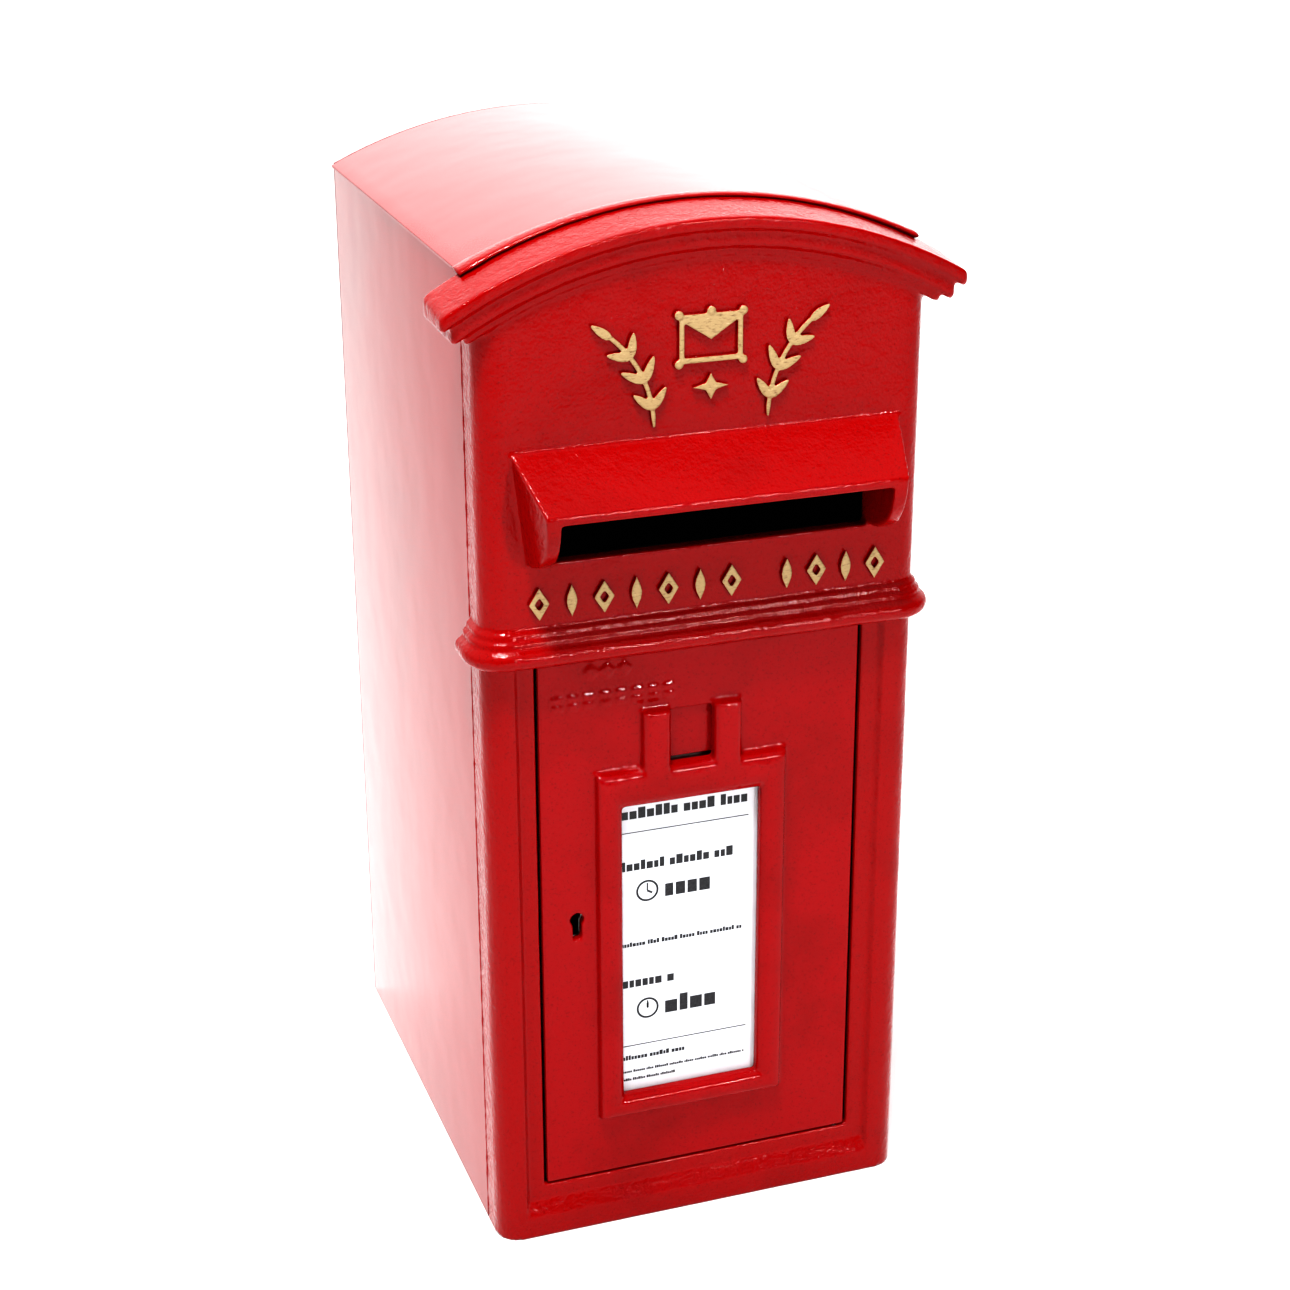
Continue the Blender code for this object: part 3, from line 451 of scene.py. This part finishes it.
def door():
    """The painted door, near-black behind as painted shade."""
    piece = welded_copy("door", "painted_door")
    work = bmesh.new()
    work.from_mesh(piece.data)
    door_relief(work)
    work.to_mesh(piece.data)
    work.free()
    castify(piece, DOOR_VOXEL, DOOR_KEEP, DOOR_WAVE)
    dress(piece, DOOR_ENAMEL, PAINTED_INSIDE_SHADE)
    back = DOOR_HIGH.y - DOOR_SHADE_DEPTH
    for face in piece.data.polygons:
        face.material_index = int(face.center.y > back and face.normal.y > 0.5)
    stand_for(piece, "door")


# ---------------------------------------------------------------- sheet body
SHEET_EDGE = 0.45 * MM
SHEET_SKIN = 0.8 * MM


def sheet_piece(node, inner):
    """Sheet panel with rounded edges, near-black as painted shade on the faces for which inner(centre,
    normal) holds.
    """
    piece = fold_edges(welded_copy(node, "painted_" + node), SHEET_EDGE)
    dress(piece, SHEET_ENAMEL, PAINTED_INSIDE_SHADE)
    for face in piece.data.polygons:
        face.material_index = int(inner(face.center, face.normal))
    stand_for(piece, node)


def sheet_body():
    """The five panels, enamelled outside and near-black inside as painted shade."""
    side_in = BODY_HALF - SHEET_SKIN
    for node in ("left_side_panel", "right_side_panel"):
        sheet_piece(node, lambda centre, normal: abs(centre.x) < side_in)
    sheet_piece("roof_panel", lambda centre, normal: normal.z < -0.5)
    sheet_piece("back_panel", lambda centre, normal: normal.y < -0.5)
    sheet_piece("base_plate", lambda centre, normal: normal.z > 0.5)


SEAM_DEPTH = 27.9 * MM                             # behind the casting's front face
BEAD_SIDES = 10
BEAD_STEPS = 160
BEAD_SWELL = 0.45
BEAD_GRAIN = 260.0                                 # cycles per metre
ROOF_BEAD_DROP = 0.2 * MM
ROOF_BEAD_EXTRA = 0.5 * MM
ROOF_BEAD_REACH = 4.5
SIDE_BEAD_RADIUS = 0.75 * MM
SIDE_BEAD_INSET = 0.5 * MM
SIDE_BEAD_END = 2.0 * MM


def paint_bead(name, path, reach):
    """Uneven bead of paint along a path of (x, z, radius) stations; reach is its depth over its height."""
    y = FRONT_Y + SEAM_DEPTH
    points = []
    for i, (x, z, radius) in enumerate(path):
        before = path[max(i - 1, 0)]
        after = path[min(i + 1, len(path) - 1)]
        across = Vector((after[1] - before[1], 0.0, before[0] - after[0])).normalized()
        centre = Vector((x, y, z))
        swell = radius * (1.0 + BEAD_SWELL / reach * noise.noise(centre * BEAD_GRAIN))
        for k in range(BEAD_SIDES):
            turn = 2 * pi * k / BEAD_SIDES
            depth = reach * swell * sin(turn)
            points.append(centre + across * (swell * cos(turn)) + Vector((0.0, depth, 0.0)))
    faces = [tuple(range(BEAD_SIDES)), tuple(range(len(points) - BEAD_SIDES, len(points)))]
    for i in range(len(path) - 1):
        for k in range(BEAD_SIDES):
            low = i * BEAD_SIDES
            step = (k + 1) % BEAD_SIDES
            faces.append((low + k, low + step, low + BEAD_SIDES + step, low + BEAD_SIDES + k))
    mesh = bpy.data.meshes.new(name)
    mesh.from_pydata(points, [], faces)
    work = bmesh.new()
    work.from_mesh(mesh)
    bmesh.ops.recalc_face_normals(work, faces=work.faces)
    work.to_mesh(mesh)
    work.free()
    mesh.shade_smooth()
    piece = dress(add_object(name, mesh), CAST_ENAMEL)
    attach(piece, "casing")


def arch_top(crown, radius, x):
    """Height at x of an arch with its crown over x = 0."""
    return crown - radius + sqrt(radius ** 2 - x * x)


def seam_beads():
    """Paint that has filled the joints between the casting, the sides and the roof."""
    shares = [i / BEAD_STEPS for i in range(BEAD_STEPS + 1)]
    arch = []
    for share in shares:
        x = ROOF_HIGH.x * (2 * share - 1)
        roof = arch_top(ROOF_HIGH.z, ROOF_RADIUS, x)
        cornice = arch_top(CASTING_HIGH.z, CORNICE_RADIUS, x)
        arch.append((x, (roof + cornice) / 2 - ROOF_BEAD_DROP, (roof - cornice) / 2 + ROOF_BEAD_EXTRA))
    paint_bead("roof_seam_bead", arch, ROOF_BEAD_REACH)
    rise = SIDE_PANEL_TOP - 2 * SIDE_BEAD_END
    for name, side in (("left_seam_bead", -1), ("right_seam_bead", 1)):
        x = side * (BODY_HALF - SIDE_BEAD_INSET)
        paint_bead(name, [(x, SIDE_BEAD_END + rise * share, SIDE_BEAD_RADIUS) for share in shares], 1.0)


# ---------------------------------------------------------------- gilt relief
GILT_VOXEL = 0.45 * MM
GILT_WAVE = 0.05 * MM


def gilt_relief():
    """Laurel sprigs, crest and the marks under the slot."""
    for node in sorted(frame["nodes"]):
        if node.startswith(("row_mark", "crest_")) or node.endswith("_laurel"):
            piece = welded_copy(node, "gilt_" + node)
            castify(piece, GILT_VOXEL, 1.0, GILT_WAVE)
            dress(piece, GILT)
            stand_for(piece, node)


# ---------------------------------------------------------------- notice card
CARD_MARGIN = 3.8 * MM                             # hidden by the door's moulding
NOTICE_LEFT = CARD_LOW.x + CARD_MARGIN
NOTICE_WIDTH = CARD_HIGH.x - CARD_LOW.x - 2 * CARD_MARGIN
NOTICE_TOP = CARD_HIGH.z - CARD_MARGIN
NOTICE_HEIGHT = CARD_HIGH.z - CARD_LOW.z - 2 * CARD_MARGIN
PRINT_Y = CARD_LOW.y - 0.06 * MM
PRINT_BACK = PRINT_Y + 0.05 * MM
PRINT_THICKNESS = 0.05 * MM
# Left, right, top and bottom of each line of small print, in shares of the card
SMALL_PRINT = (
    (0.01, 0.95, 0.022, 0.058),
    (0.01, 0.83, 0.200, 0.232),
    (0.01, 0.90, 0.478, 0.493),
    (0.01, 0.44, 0.602, 0.636),
    (0.01, 0.48, 0.878, 0.894),
    (0.01, 0.93, 0.931, 0.940),
    (0.01, 0.42, 0.960, 0.969),
)
DIAL_ROWS = ((0.27, 4), (0.68, 12))                # top in shares of the card, hour shown
DIAL_RADIUS = 6.4 * MM
DIAL_SIDES = 40
DIAL_RIM = 0.82
HOUR_HAND = (0.5, 0.09)                            # length and half width over the radius
MINUTE_HAND = (0.72, 0.06)
RULE_ROWS = (0.105, 0.845)
RULE_INSET = 0.5 * MM
RULE_HEIGHT = 0.5 * MM
TABLET_EDGE = 0.4 * MM


def greeked_line(work, draws, left, right, top, bottom):
    """A line of print as plain blocks with gaps for words; its edges are shares of the card."""
    height = (bottom - top) * NOTICE_HEIGHT
    x = NOTICE_LEFT + left * NOTICE_WIDTH
    end = NOTICE_LEFT + right * NOTICE_WIDTH
    low = NOTICE_TOP - bottom * NOTICE_HEIGHT
    while x < end:
        for _ in range(draws.randint(4, 8)):
            wide = height * draws.uniform(0.42, 0.68)
            tall = height * (1.0 if draws.random() < 0.3 else 0.72)
            if x + wide < end:
                box_mesh(work, (x, PRINT_Y, low), (x + wide, PRINT_BACK, low + tall))
            x += wide + height * 0.14
        x += height * 0.42


def dial(work, x, z, radius, hour):
    """A clock face: a ring, hour hand and minute hand, which stands at twelve."""
    middle = Vector((x, PRINT_Y, z))
    outer = []
    inner = []
    for i in range(DIAL_SIDES):
        turn = 2 * pi * i / DIAL_SIDES
        across = Vector((sin(turn), 0.0, cos(turn)))
        outer.append(work.verts.new(middle + across * radius))
        inner.append(work.verts.new(middle + across * radius * DIAL_RIM))
    for i in range(DIAL_SIDES):
        after = (i + 1) % DIAL_SIDES
        work.faces.new((outer[i], inner[i], inner[after], outer[after]))
    for angle, (length, half) in ((2 * pi * hour / 12, HOUR_HAND), (0.0, MINUTE_HAND)):
        centre = middle + Vector((sin(angle), 0.0, cos(angle))) * (radius * length / 2)
        size = Matrix.Diagonal((2 * half * radius, PRINT_THICKNESS, radius * length, 1.0))
        hand = Matrix.Translation(centre) @ Matrix.Rotation(angle, 4, "Y") @ size
        bmesh.ops.create_cube(work, size=1.0, matrix=hand)


def notice():
    """The card in the door's opening."""
    card = welded_copy("notice_card", "printed_card")
    dress(card, PAPER)
    stand_for(card, "notice_card")


def notice_print():
    """The card's print: word-like lines, two dials with a big line beside each, and two rules."""
    work = bmesh.new()
    draws = random.Random(11)
    for line in SMALL_PRINT:
        greeked_line(work, draws, *line)
    for top, hour in DIAL_ROWS:
        z = NOTICE_TOP - (top + 0.0375) * NOTICE_HEIGHT
        dial(work, NOTICE_LEFT + 0.2 * NOTICE_WIDTH, z, DIAL_RADIUS, hour)
        greeked_line(work, draws, 0.33, 0.78, top + 0.008, top + 0.067)
    for share in RULE_ROWS:
        z = NOTICE_TOP - share * NOTICE_HEIGHT
        low = (NOTICE_LEFT + RULE_INSET, PRINT_Y, z)
        box_mesh(work, low, (NOTICE_LEFT + 0.94 * NOTICE_WIDTH, PRINT_BACK, z + RULE_HEIGHT))
    mesh = bpy.data.meshes.new("notice_print")
    work.to_mesh(mesh)
    work.free()
    printed = dress(add_object("notice_print", mesh), INK)
    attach(printed, "door")


def tablet_plate():
    """The painted plate behind the door's little window."""
    tablet = fold_edges(welded_copy("tablet_plate", "painted_tablet"), TABLET_EDGE)
    dress(tablet, DOOR_ENAMEL)
    stand_for(tablet, "tablet_plate")


# ---------------------------------------------------------------- hardware
MACHINED_EDGE = 0.18 * MM


def hardware():
    """Screws, pins, lock and backplate, by the record's material slots."""
    finishes = {"zinc_steel": ZINC, "spring_steel": SPRING, "brass": BRASS}
    for part in frame["record"]["subparts"]:
        finish = finishes.get(part["material_slot"])
        if finish:
            node = part["node"]
            piece = fold_edges(welded_copy(node, "finished_" + node), MACHINED_EDGE)
            dress(piece, finish)
            stand_for(piece, node)


# ---------------------------------------------------------------- stage, light and camera
FLOOR_HALF = 12.0                                  # metres
FLOOR_DROP = 0.4 * MM
WORLD_BASE = 0.05
WORLD_LOBES = (                                    # direction, sharpness, radiance
    ((-0.85, 0.05, 0.52), 3.0, 1.0),
    ((0.25, 0.86, 0.4), 2.1, 1.6),
    ((0.1, -0.35, 0.93), 6.0, 1.0),
)
# Lights as name, place and target in metres, size in metres, power in watts
AREA_LIGHTS = (
    ("front_key", (0.75, -2.25, 0.88), (0.0, -0.1, 0.15), (0.04, 0.5), 14.0),
    ("overhead_softbox", (-0.4, -0.75, 2.4), (0.0, -0.15, 0.35), (0.4, 0.4), 42.0),
)
CAMERA_PLACE = Vector((-423.4 * MM, FRONT_Y - 1112.3 * MM, 827.5 * MM))
CAMERA_YAW = radians(19.27)
CAMERA_PITCH = radians(-22.09)
CAMERA_ROLL = radians(-0.18)
CAMERA_LENS = 68.86                                # Blender's own millimetres, on a sensor 36 wide
CAMERA_SENSOR = 36.0


def floor():
    """A wide white sheet under the box."""
    mesh = bpy.data.meshes.new("floor")
    half = FLOOR_HALF
    corners = [(-half, -half, 0), (half, -half, 0), (half, half, 0), (-half, half, 0)]
    mesh.from_pydata(corners, [], [(0, 1, 2, 3)])
    piece = add_object("floor", mesh)
    piece.location.z = -FLOOR_DROP
    shade = Shade("white_floor")
    shade.set(Base_Color=(*FLOOR_WHITE, 1.0), Roughness=0.8)
    dress(piece, shade.material)


def maths(tree, operation, *values):
    """A math node fed with numbers or sockets."""
    made = tree.nodes.new("ShaderNodeMath")
    made.operation = operation
    for value, socket in zip(values, made.inputs):
        feed(tree, value, socket)
    return made.outputs["Value"]


def world_light():
    """Dim surroundings, brighter in wide lobes."""
    world = bpy.data.worlds.new("studio")
    bpy.context.scene.world = world
    world.use_nodes = True
    tree = world.node_tree
    background = tree.nodes["Background"]
    direction = tree.nodes.new("ShaderNodeTexCoord").outputs["Generated"]
    total = WORLD_BASE
    for aim, sharpness, radiance in WORLD_LOBES:
        dot = tree.nodes.new("ShaderNodeVectorMath")
        dot.operation = "DOT_PRODUCT"
        dot.inputs[1].default_value = Vector(aim).normalized()
        tree.links.new(direction, dot.inputs[0])
        facing = maths(tree, "MAXIMUM", dot.outputs["Value"], 0.0)
        total = maths(tree, "MULTIPLY_ADD", maths(tree, "POWER", facing, sharpness), radiance, total)
    tree.links.new(total, background.inputs["Strength"])
    background.inputs["Color"].default_value = (1.0, 1.0, 1.0, 1.0)


def area_light(name, place, target, size, power):
    """A rectangular light aimed at a target."""
    light = bpy.data.lights.new(name, "AREA")
    light.shape = "RECTANGLE"
    light.size, light.size_y = size
    light.energy = power
    lamp = add_object(name, light)
    lamp.location = place
    lamp.rotation_euler = (Vector(target) - Vector(place)).to_track_quat("-Z", "Y").to_euler()


def camera():
    """Camera in front of the box, to its left and above, looking down at it."""
    ahead = cos(CAMERA_PITCH)
    forward = Vector((sin(CAMERA_YAW) * ahead, cos(CAMERA_YAW) * ahead, sin(CAMERA_PITCH)))
    level = Vector((cos(CAMERA_YAW), -sin(CAMERA_YAW), 0.0))
    upright = level.cross(forward)
    right = level * cos(CAMERA_ROLL) + upright * sin(CAMERA_ROLL)
    up = upright * cos(CAMERA_ROLL) - level * sin(CAMERA_ROLL)
    lens = bpy.data.cameras.new("camera")
    lens.lens = CAMERA_LENS
    lens.sensor_width = CAMERA_SENSOR
    made = add_object("camera", lens)
    turn = Matrix((right, up, -forward)).transposed().to_4x4()
    made.matrix_world = Matrix.Translation(CAMERA_PLACE) @ turn
    bpy.context.scene.camera = made


front_casting()
door()
sheet_body()
seam_beads()
gilt_relief()
notice()
notice_print()
tablet_plate()
hardware()
floor()
world_light()
for settings in AREA_LIGHTS:
    area_light(*settings)
camera()
bpy.context.scene.view_settings.view_transform = "Standard"
bpy.context.scene.view_settings.look = "Very High Contrast"
